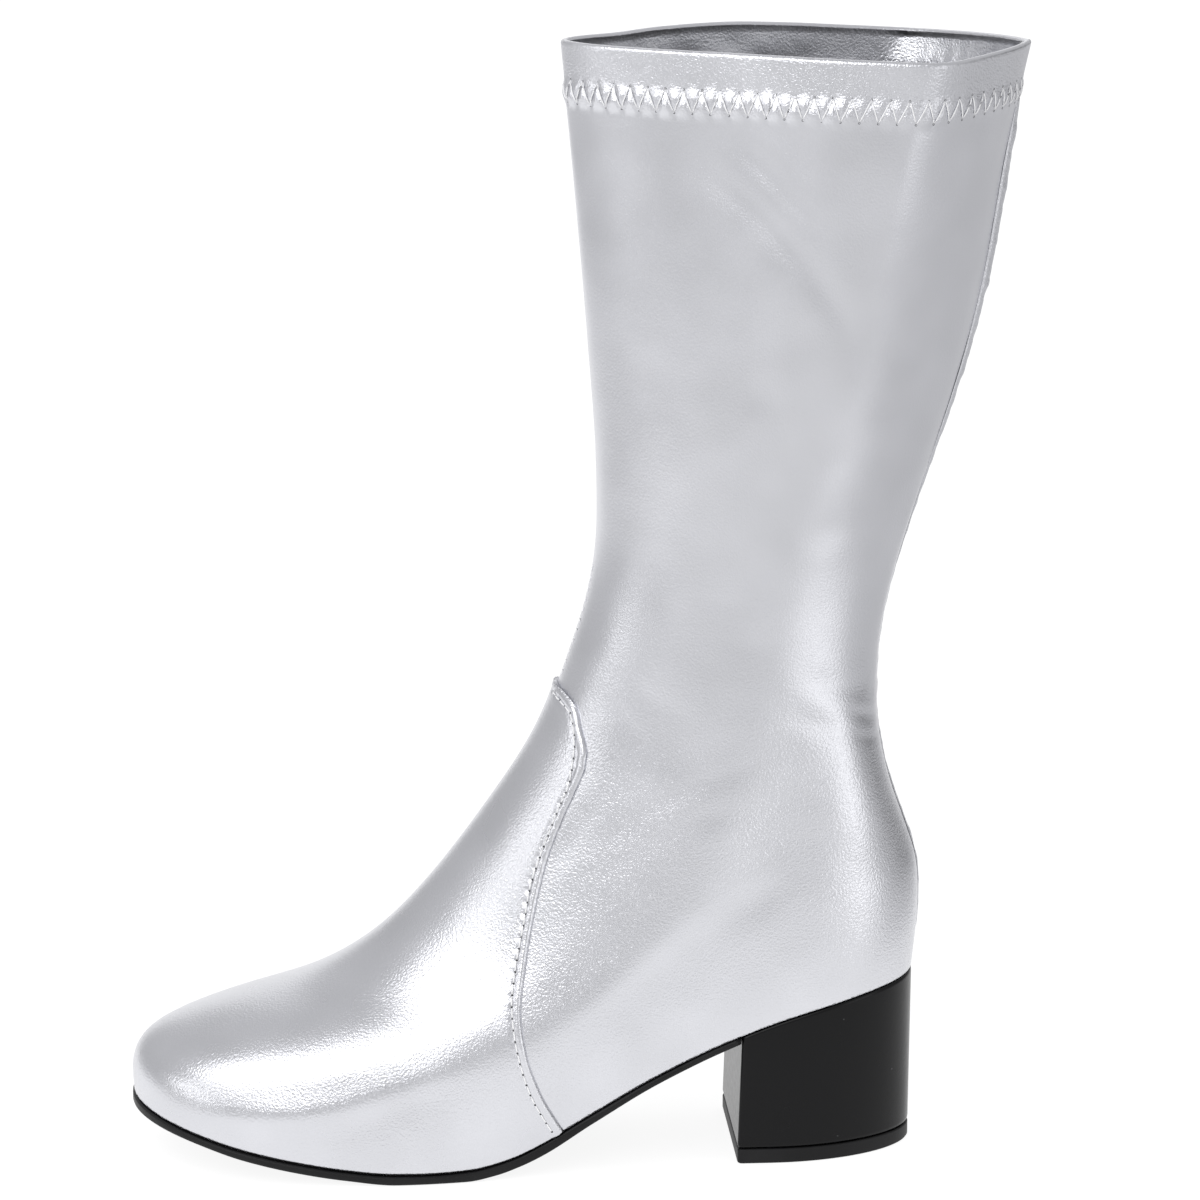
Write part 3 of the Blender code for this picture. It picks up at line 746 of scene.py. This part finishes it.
def across_vamp(length):
    """Places across half a row of the vamp, close together by its edge."""
    near = np.array(EDGE_STEPS) * min(1.0, length / EDGE_ROOM)
    return np.concatenate((near, np.linspace(near[-1], length, VAMP_FILL + 1)[1:]))


def nearest_distance(points, line):
    """Distance of each point from the nearest point of a line."""
    flat = points.reshape(-1, 3)
    found = np.full(len(flat), 1e9)
    for start in range(0, len(line), 60):
        part = line[start:start + 60]
        found = np.minimum(found, norm(flat[:, None] - part[None], axis=2).min(axis=1))
    return found.reshape(points.shape[:-1])


def vamp_lift(distance, height):
    """Height of the vamp above the upper, its stitch groove further from the edge near the sole."""
    widen = 1 + GROOVE_WIDEN * np.clip((GROOVE_FROM - height) / GROOVE_RANGE, 0, 1)
    return smooth(EDGE_SHAPE, distance / widen)


def shell(name, top, under, material):
    """A closed sheet between two grids of points."""
    count, width = top.shape[:2]
    size = count * width
    numbers = np.arange(size).reshape(count, width)
    upper_rows, lower_rows = numbers.tolist(), (numbers + size).tolist()
    faces = []
    for a, b in zip(upper_rows, upper_rows[1:]):
        faces += band_faces(a, b, closed=False)
    for a, b in zip(lower_rows, lower_rows[1:]):
        faces += [face[::-1] for face in band_faces(a, b, closed=False)]
    loop = [row[0] for row in upper_rows] + upper_rows[-1][1:]
    loop += [row[-1] for row in upper_rows[-2::-1]] + upper_rows[0][-2:0:-1]
    faces += band_faces(loop, [n + size for n in loop], closed=True)
    points = np.vstack((top.reshape(-1, 3), under.reshape(-1, 3)))
    return mesh_object(name, points, faces, (material,))


def make_vamp(silver, thread, hole_shade):
    """Lapped vamp with a turned edge, its stitch row, and its needle holes as dark discs of painted shade."""
    heights, ways, edge = vamp_rows()
    rows = []
    for k, v in enumerate(heights):
        halves = []
        for side in (-1, 1):
            start, end = ways[side][k], side_line(v, side)[1][-1]
            halves.append(at_ways(v, side, start + across_vamp(end - start)))
        rows.append(np.vstack((halves[0], halves[1][-2::-1])))
    base = np.array(rows)
    out = normals(base, closed=False)
    distance = nearest_distance(base, edge)
    follow = crease_relief(base) * np.clip(1 - distance / VAMP_FOLLOW, 0, 1)
    follow = follow + trough(base, TOE_SWELL_WIDTH, -TOE_SWELL_HEIGHT, TOE_SWELL_LINE)
    paths, places, directions = vamp_stitches(edge)
    pits = NEEDLE_PIT * np.exp(-(nearest_distance(base + out, places) / NEEDLE_REACH) ** 2)
    lift = vamp_lift(distance, base[..., 2]) + follow - pits
    sheets = []
    for height in (lift, np.minimum(0.05 + follow, lift - 0.08)):
        grid = base + out * height[..., None]
        tuck = grid[0] + (0, 0, -VAMP_TUCK) - out[0]
        sheets.append(np.concatenate((tuck[None], grid)))
    return (shell("vamp_skin", *sheets, silver), tubes("vamp_thread", paths, THREADS["vamp"][0], thread),
            dots("vamp_holes", places, directions, HOLES["vamp"], hole_shade))


def vamp_stitches(edge):
    """Paths of the vamp's stitches, and the needle holes between them with their directions."""
    paths, places, directions = [], [], []
    for side in (-1, 1):
        run, line, lean = stitch_line(side, edge)
        holes = np.linspace(0.5, run[-1] - 0.5, int(run[-1] / STITCH_PITCH))
        for a, b in zip(holes, holes[1:]):
            ways = np.linspace(a + 0.3, b - 0.3, STITCH_POINTS)
            paths.append(arched(along(ways, run, line), unit(along(ways, run, lean)), THREADS["vamp"][1]))
        away = unit(along(holes, run, lean))
        places.append(along(holes, run, line) - away * STITCH_SINK)
        directions.append(away)
    return paths, np.vstack(places), np.vstack(directions)


def stitch_line(side, edge):
    """The vamp's stitch row on one side: the way run, the points, and the normals along it."""
    heights = np.linspace(0.15, throat_height(VAMP_STITCH) - 2e-3, STITCH_SAMPLES)
    ways = meeting_ways(VAMP_STITCH, side, heights)
    here = on_side(heights, side, ways)
    ahead = on_side(heights, side, ways - 0.8)
    above = on_side(heights + 0.05, side, ways)
    lean = unit(np.cross(ahead - here, above - here)) * (-side)
    distance = nearest_distance(here[None], edge)[0]
    here = here + lean * vamp_lift(distance, here[:, 2])[:, None]
    return running(lengths(here)), here, lean


def make_front_seam(thread):
    """Short row of stitches up the front above the throat."""
    radius, lift = THREADS["seam"]
    fine, curves = section_curves()
    paths = []
    for z in np.arange(SEAM_FROM, SEAM_TO, SEAM_PITCH):
        heights = np.interp(np.linspace(z, z + SEAM_STITCH, 5), curves["front_z"], fine)
        ways = [side_line(v, -1)[1][-1] - SEAM_OFFSET for v in heights]
        paths.append(arched(on_side(heights, -1, ways), np.tile(SEAM_OUT, (len(ways), 1)), lift))
    return tubes("front_seam_thread", paths, radius, thread)


def make_back_strip(silver):
    """Rolled strip over the back seam, finely wrinkled across."""
    fine, curves = section_curves()
    levels = np.arange(STRIP_LINE[0][0], STRIP_LINE[-1][0], STRIP_STEP)
    across = np.sin(np.linspace(-np.pi / 2, np.pi / 2, STRIP_COLUMNS))
    rows = []
    for z in levels:
        v = float(np.interp(z, curves["back_z"], fine))
        ways = STRIP_HALF_WIDTH * across + smooth(STRIP_LINE, z)
        outer, inner = [at_ways(v, side, np.abs(ways)) for side in (-1, 1)]
        rows.append(np.where(ways[:, None] < 0, outer, inner))
    base = np.array(rows)
    out = normals(base, closed=False)
    out = np.where(out[..., :1] > 0, out, -out)
    crown = np.sqrt(np.clip(1 - across ** 2, 0, 1))
    wrinkle = sum(height * ripple(base * counts, wave, seed) for height, wave, seed, counts in STRIP_WAVES)
    pucker = sum(height * np.exp(-((levels - level) / reach) ** 2) for height, level, reach in STRIP_PUCKER)
    lift = 0.08 + crown[None] * (smooth(STRIP_HEIGHT, levels)[:, None] + wrinkle + pucker[:, None])
    top = base + out * lift[..., None]
    under = base + out * 0.05
    return shell("back_strip_skin", top[:, ::-1], under[:, ::-1], silver)


def two_sides(x, centre, half, z):
    """Outer and inner edge of an outline."""
    return [np.column_stack((x, centre + side * half, z)) for side in (-1, 1)]


def foot_outline(s, inset, table, lift, waist=0.0):
    """Outer and inner edge of a layer under the foot, lifted off a table of heights."""
    x, centre, half, _ = outline(0, s, inset)
    half = np.maximum(half - waist, 0.0)
    return two_sides(x, centre, half, smooth(table, x) + lift)


def share_of(x, inset):
    """The share of the foot's length at a place, for an outline with this inset."""
    row = section(0)
    back, front = row.back_x - inset, row.front_x + inset
    return (back - x) / (back - front)


def layer(name, edges, material):
    """A closed solid through outlines from the bottom up, each an outer and an inner side from the back."""
    points, loops, faces = [], [], []
    for outer, inner in edges:
        left, right = [], []
        for a, b in zip(outer, inner):
            left.append(len(points))
            points.append(a)
            if norm(a - b) >= 0.01:
                points.append(b)
            right.append(len(points) - 1)
        loops.append((left, right))
    rings = [list(dict.fromkeys(left + right[::-1])) for left, right in loops]
    for low, high in zip(rings, rings[1:]):
        faces += band_faces(low, high, closed=True)
    for (left, right), turn in ((loops[0], -1), (loops[-1], 1)):
        for k in range(len(left) - 1):
            quad = tuple(dict.fromkeys((left[k], right[k], right[k + 1], left[k + 1])))
            faces.append(quad[::turn])
    obj = mesh_object(name, points, faces, (material,))
    weighted = obj.modifiers.new("weighted", "WEIGHTED_NORMAL")
    weighted.keep_sharp = False
    weighted.weight = 60
    return obj


def make_outsole(black):
    """Thin sole with softened edges."""
    edges = []
    for table, drop, rows in ((SOLE_UNDERSIDE, 0.0, SOLE_LOW_EDGE), (UPPER_UNDERSIDE, -GAP, SOLE_TOP_EDGE)):
        for inset, lift in rows:
            inset = inset - SOLE_OVERHANG
            breast = share_of(HEEL_BREAST_TOP - GAP, inset)
            s = breast + (1 - breast) * np.sin(np.linspace(0, np.pi / 2, SOLE_STATIONS))
            edges.append(foot_outline(s, inset, table, lift + drop, smooth(SOLE_WAIST, s)))
    return layer("outsole_edge", edges, black)


def heel_outline(share, inset, low):
    """Outline of the heel, from share 0 at its foot to 1 at its seat, its breast corners rounded."""
    s = rounded_shares(HEEL_STATIONS)
    x = HEEL_BACK_FOOT + (HEEL_BREAST_FOOT - HEEL_BACK_FOOT) * s
    half = HEEL_HALF_WIDTH_FOOT * cap(HEEL_BACK_FOOT - x, HEEL_BACK_CAP, HEEL_BACK_POWER)
    seat_x, _, seat_half, _ = outline(0, s * share_of(HEEL_BREAST_TOP, 0.0))
    x = x + (seat_x - x) * share
    half = soften(half + (seat_half - half) * share, 3)
    half = half - HEEL_CORNER + HEEL_CORNER * cap(x - x[-1], HEEL_CORNER, 2.0)
    half[0] = 0.0
    middle = (x[0] + x[-1]) / 2
    shrink = 1 - inset / HEEL_HALF_LENGTH
    x = middle + (x - middle) * shrink
    half = half * shrink
    z = low + (smooth(UPPER_UNDERSIDE, x) - GAP - low) * share
    return two_sides(x, 0.0, half, z)


def make_heel(black):
    """Gloss block heel, its top following the heel seat."""
    edges = [heel_outline(share, inset, LIFT_HEIGHT + GAP) for share, inset in HEEL_ROWS]
    return layer("heel_block", edges, black)


def make_heel_lift(rubber):
    """Flat top piece under the heel."""
    return layer("heel_lift_pad", [heel_outline(0.0, inset, height) for height, inset in LIFT_ROWS], rubber)


def make_insole(lining):
    """Padded insole, its edge cupped up to the wall."""
    s = rounded_shares(INSOLE_STATIONS)
    edges = []
    for inset, lift in INSOLE_EDGE:
        edges.append(foot_outline(s, inset + INSOLE_INSET, UPPER_UNDERSIDE, WALL + GAP + lift))
    return layer("insole_pad", edges, lining)


def set_inputs(node, inputs):
    """Puts constants on a node's sockets, an underscore standing for a space in their names."""
    for name, value in inputs.items():
        node.inputs[name.replace("_", " ")].default_value = value


def add_node(tree, kind, **inputs):
    node = tree.nodes.new(kind)
    set_inputs(node, inputs)
    return node


def new_material(name, colour, **inputs):
    material = bpy.data.materials.new(name)
    material.use_nodes = True
    shader = material.node_tree.nodes["Principled BSDF"]
    shader.inputs["Base Color"].default_value = (*colour, 1)
    set_inputs(shader, inputs)
    return material, shader


def ramp(source, socket, stops):
    """Colours a socket by a value, through stops of place and colour."""
    tree = source.id_data
    node = tree.nodes.new("ShaderNodeValToRGB")
    elements = node.color_ramp.elements
    while len(elements) < len(stops):
        elements.new(0.5)
    for element, (place, colour) in zip(elements, stops):
        element.position = place
        element.color = (*colour, 1)
    tree.links.new(source, node.inputs["Fac"])
    tree.links.new(node.outputs["Color"], socket)


def tint(shader, source, *stops):
    ramp(source, shader.inputs["Base Color"], stops)


def vary(source, low, high, socket, **limits):
    """Sets a socket from low to high by a value from 0 to 1, or between limits."""
    tree = source.id_data
    node = add_node(tree, "ShaderNodeMapRange", To_Min=low, To_Max=high, **limits)
    tree.links.new(source, node.inputs["Value"])
    tree.links.new(node.outputs["Result"], socket)
    return node


def texture(place, kind, output, **inputs):
    tree = place.id_data
    node = add_node(tree, kind, **inputs)
    tree.links.new(place, node.inputs["Vector"])
    return node.outputs[output]


def noise(place, scale, **inputs):
    return texture(place, "ShaderNodeTexNoise", "Fac", Scale=scale, **inputs)


def cells(place, scale, **inputs):
    return texture(place, "ShaderNodeTexVoronoi", "Distance", Scale=scale, **inputs)


def bump(shader, height, strength, distance):
    """Gives a material a fine relief."""
    tree = shader.id_data
    node = add_node(tree, "ShaderNodeBump", Strength=strength, Distance=distance)
    tree.links.new(height, node.inputs["Height"])
    tree.links.new(node.outputs["Normal"], shader.inputs["Normal"])
    return node


def stretched(shader, scale=(1, 1, 1), shift=(0, 0, 0), turn=0.0):
    """Object coordinates scaled by axis, turned about the upright and shifted."""
    place = shader.id_data.nodes.new("ShaderNodeTexCoord").outputs["Object"]
    return texture(place, "ShaderNodeMapping", "Vector",
                   Scale=scale, Rotation=(0, 0, turn), Location=shift)


def silver_material(name):
    """Metallic coated stretch leather with a fine crinkled grain and a slightly uneven gloss."""
    grain, shaft_grain, rough = SILVERS[name]
    material, shader = new_material(name, (0.70, 0.705, 0.735), Roughness=rough, Metallic=1.0)
    place = stretched(shader)
    patches = noise(place, 45.0, Detail=1.0)
    tint(shader, patches, (0.3, (0.66, 0.665, 0.697)), (0.7, (0.71, 0.715, 0.75)))
    vary(patches, rough - SILVER_SWING, rough + SILVER_SWING, shader.inputs["Roughness"])
    relief = bump(shader, noise(place, 1400.0, Detail=1.5, Roughness=0.6), 1.0, GRAIN_HEIGHT)
    up = texture(place, "ShaderNodeSeparateXYZ", "Z")
    strength = relief.inputs["Strength"]
    fade = vary(up, grain, shaft_grain, strength, From_Min=GRAIN_FROM, From_Max=GRAIN_TO)
    fade.interpolation_type = "SMOOTHSTEP"
    return material


def lining_material():
    """Pale knitted backing inside the shaft."""
    material, shader = new_material("shaft_lining", (0.55, 0.55, 0.56), Roughness=0.85, Sheen_Weight=0.25)
    place = stretched(shader, (1.0, 1.0, 0.7))
    cloud = noise(place, 60.0, Detail=3.0)
    tint(shader, cloud, (0.3, (0.47, 0.47, 0.48)), (0.75, (0.60, 0.60, 0.61)))
    bump(shader, cells(place, 900.0, Randomness=0.35), 0.5, 0.0003)
    return material


def insole_material():
    """Pale synthetic sock with a fine pressed grain."""
    material, shader = new_material("insole_sock", (0.60, 0.59, 0.57), Roughness=0.7)
    place = stretched(shader)
    cloud = noise(place, 35.0, Detail=4.0)
    tint(shader, cloud, (0.3, (0.54, 0.53, 0.51)), (0.75, (0.64, 0.63, 0.61)))
    bump(shader, cells(place, 700.0), 0.35, 0.0002)
    return material


def thread_material():
    """Pale twisted sewing thread."""
    material, shader = new_material("pale_thread", (0.82, 0.82, 0.83), Roughness=0.45, Sheen_Weight=0.3)
    twist = noise(stretched(shader), 2500.0, Detail=1.0)
    tint(shader, twist, (0.3, (0.84, 0.84, 0.85)), (0.7, (0.95, 0.95, 0.96)))
    bump(shader, twist, 0.4, 0.0001)
    return material


def hole_shade_material():
    """Painted shade inside the needle holes: a dark colour on their discs."""
    material, shader = new_material("needle_hole_shade", (0.05, 0.05, 0.055), Roughness=0.9)
    dust = noise(stretched(shader), 900.0)
    tint(shader, dust, (0.3, (0.03, 0.03, 0.033)), (0.8, (0.10, 0.10, 0.105)))
    return material


def heel_material():
    """Gloss black heel cover with faint dust and a very fine orange peel."""
    colour = (0.004, 0.004, 0.0045)
    material, shader = new_material("black_gloss", colour, Roughness=0.24, Specular_IOR_Level=0.18)
    place = stretched(shader)
    peel = noise(place, 420.0, Detail=2.0)
    dust = cells(place, 95.0, Randomness=1.0)
    tint(shader, dust, (0.02, (0.06, 0.06, 0.062)), (0.035, colour))
    vary(peel, 0.20, 0.30, shader.inputs["Roughness"])
    bump(shader, peel, 0.12, 0.0002)
    return material


def rubber_material(name, roughness):
    """Black sole material, slightly greyed and finely textured."""
    colour = (0.014, 0.014, 0.015)
    material, shader = new_material(name, colour, Roughness=roughness, Specular_IOR_Level=0.22)
    place = stretched(shader)
    cloud = noise(place, 45.0, Detail=4.0)
    tint(shader, cloud, (0.35, (0.005, 0.005, 0.0055)), (0.75, (0.012, 0.012, 0.013)))
    vary(cloud, roughness - 0.08, roughness + 0.1, shader.inputs["Roughness"])
    bump(shader, noise(place, 700.0, Detail=3.0), 0.25, 0.0002)
    return material


def floor_material():
    """White floor with a glow that fades across it."""
    material, shader = new_material("white_floor", (0.24, 0.24, 0.24), Roughness=0.8,
                                    Specular_IOR_Level=0.0, Emission_Color=(1, 1, 1, 1))
    material.cycles.emission_sampling = "NONE"
    graded = stretched(shader, GLOW_SCALE, GLOW_SHIFT, np.radians(GLOW_TURN))
    glow = texture(graded, "ShaderNodeTexGradient", "Fac")
    vary(glow, *GLOW_RANGE, shader.inputs["Emission Strength"])
    cloud = noise(stretched(shader), 3.0, Detail=0.0)
    tint(shader, cloud, (0.3, (0.23, 0.23, 0.23)), (0.7, (0.25, 0.25, 0.25)))
    return material


def facing_turn(place, aim):
    """The turn that points a camera or light from a place at its aim."""
    return (Vector(aim) - Vector(place)).to_track_quat("-Z", "Y")


def make_camera():
    data = bpy.data.cameras.new("camera")
    data.lens = LENS
    data.sensor_width = 36.0
    camera = add_object("camera", data)
    camera.location = Vector(CAMERA_AT) * MM
    camera.rotation_euler = facing_turn(CAMERA_AT, CAMERA_AIM).to_euler()
    bpy.context.scene.camera = camera


def make_light(name, place, aim, width, height, power, roll, beam):
    data = bpy.data.lights.new(name, "AREA")
    data.shape = "RECTANGLE"
    data.size = width
    data.size_y = height
    data.energy = power
    data.spread = np.radians(beam)
    light = add_object(name, data)
    light.location = place
    turn = facing_turn(place, aim) @ Quaternion((0, 0, 1), np.radians(roll))
    light.rotation_euler = turn.to_euler()


def make_world():
    """An even pale tent, slightly darker just above the horizon, with a dim gap on the right."""
    world = bpy.data.worlds.new("tent")
    world.use_nodes = True
    tree = world.node_tree
    light = tree.nodes["Background"].inputs
    around = tree.nodes.new("ShaderNodeTexCoord").outputs["Generated"]
    height = add_node(tree, "ShaderNodeMapRange", From_Min=TENT_LOW, From_Max=1.0)
    tree.links.new(texture(around, "ShaderNodeSeparateXYZ", "Z"), height.inputs["Value"])
    stops = [(place, (value, value, value * TENT_BLUE)) for place, value in TENT_STOPS]
    ramp(height.outputs["Result"], light["Color"], stops)
    gap = texture(around, "ShaderNodeMapping", "Vector", Scale=DIM_SCALE, Location=DIM_SHIFT)
    dim = texture(gap, "ShaderNodeTexGradient", "Fac")
    dim.node.gradient_type = "SPHERICAL"
    vary(dim, 1.0, DIM_LEAST, light["Strength"])
    bpy.context.scene.world = world


def make_stage():
    """Floor that curves up into a backdrop."""
    profile = [(y, 0.0) for y in FLOOR_PLACES]
    profile += [(FLOOR_PLACES[-1] + np.sin(a), 1 - np.cos(a)) for a in np.radians(FLOOR_CURVE)]
    profile.append(FLOOR_END)
    points = []
    for y, z in profile:
        points += [(np.interp(y, *zip(*edge)), y, z - FLOOR_DROP) for edge in (FLOOR_LEFT, FLOOR_RIGHT)]
    faces = [(2 * k, 2 * k + 1, 2 * k + 3, 2 * k + 2) for k in range(len(profile) - 1)]
    floor = mesh_object("floor", np.array(points) / MM - SHIFT, faces, (floor_material(),))


def dress(obj, slot, *nodes):
    """Puts a piece on the boot and hides the solids it stands for."""
    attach(obj, "root")
    if nodes:
        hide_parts(*nodes)


def main():
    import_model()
    for name in ("Cube", "Light", "Camera"):
        if name in bpy.data.objects:
            bpy.data.objects.remove(bpy.data.objects[name])
    bpy.context.scene.view_settings.view_transform = "Standard"
    make_camera()
    make_world()
    make_stage()
    for row in LIGHTS:
        make_light(*row)

    # The needle holes' dark discs carry painted shade.
    thread, hole_shade = thread_material(), hole_shade_material()
    skin = upper_skin()
    silver, hem = silver_material("silver_stretch"), silver_material("silver_hem")
    dress(make_upper(skin, silver, lining_material(), hem), "silver_upper", "upper")
    for piece in make_zigzag(skin, thread, hole_shade):
        dress(piece, "silver_upper")
    vamp, *stitches = make_vamp(silver_material("silver_vamp"), thread, hole_shade)
    dress(vamp, "silver_vamp", "vamp")
    for piece in stitches:
        dress(piece, "silver_vamp")
    dress(make_front_seam(thread), "silver_upper")
    dress(make_back_strip(silver_material("silver_strip")), "silver_strip", "back_strip")
    dress(make_insole(insole_material()), "insole_lining", "insole")
    dress(make_outsole(rubber_material("black_sole", 0.42)), "black_sole", "outsole")
    dress(make_heel(heel_material()), "black_heel", "heel")
    dress(make_heel_lift(rubber_material("black_lift", 0.5)), "black_lift", "heel_lift")

    bpy.context.view_layer.update()


main()
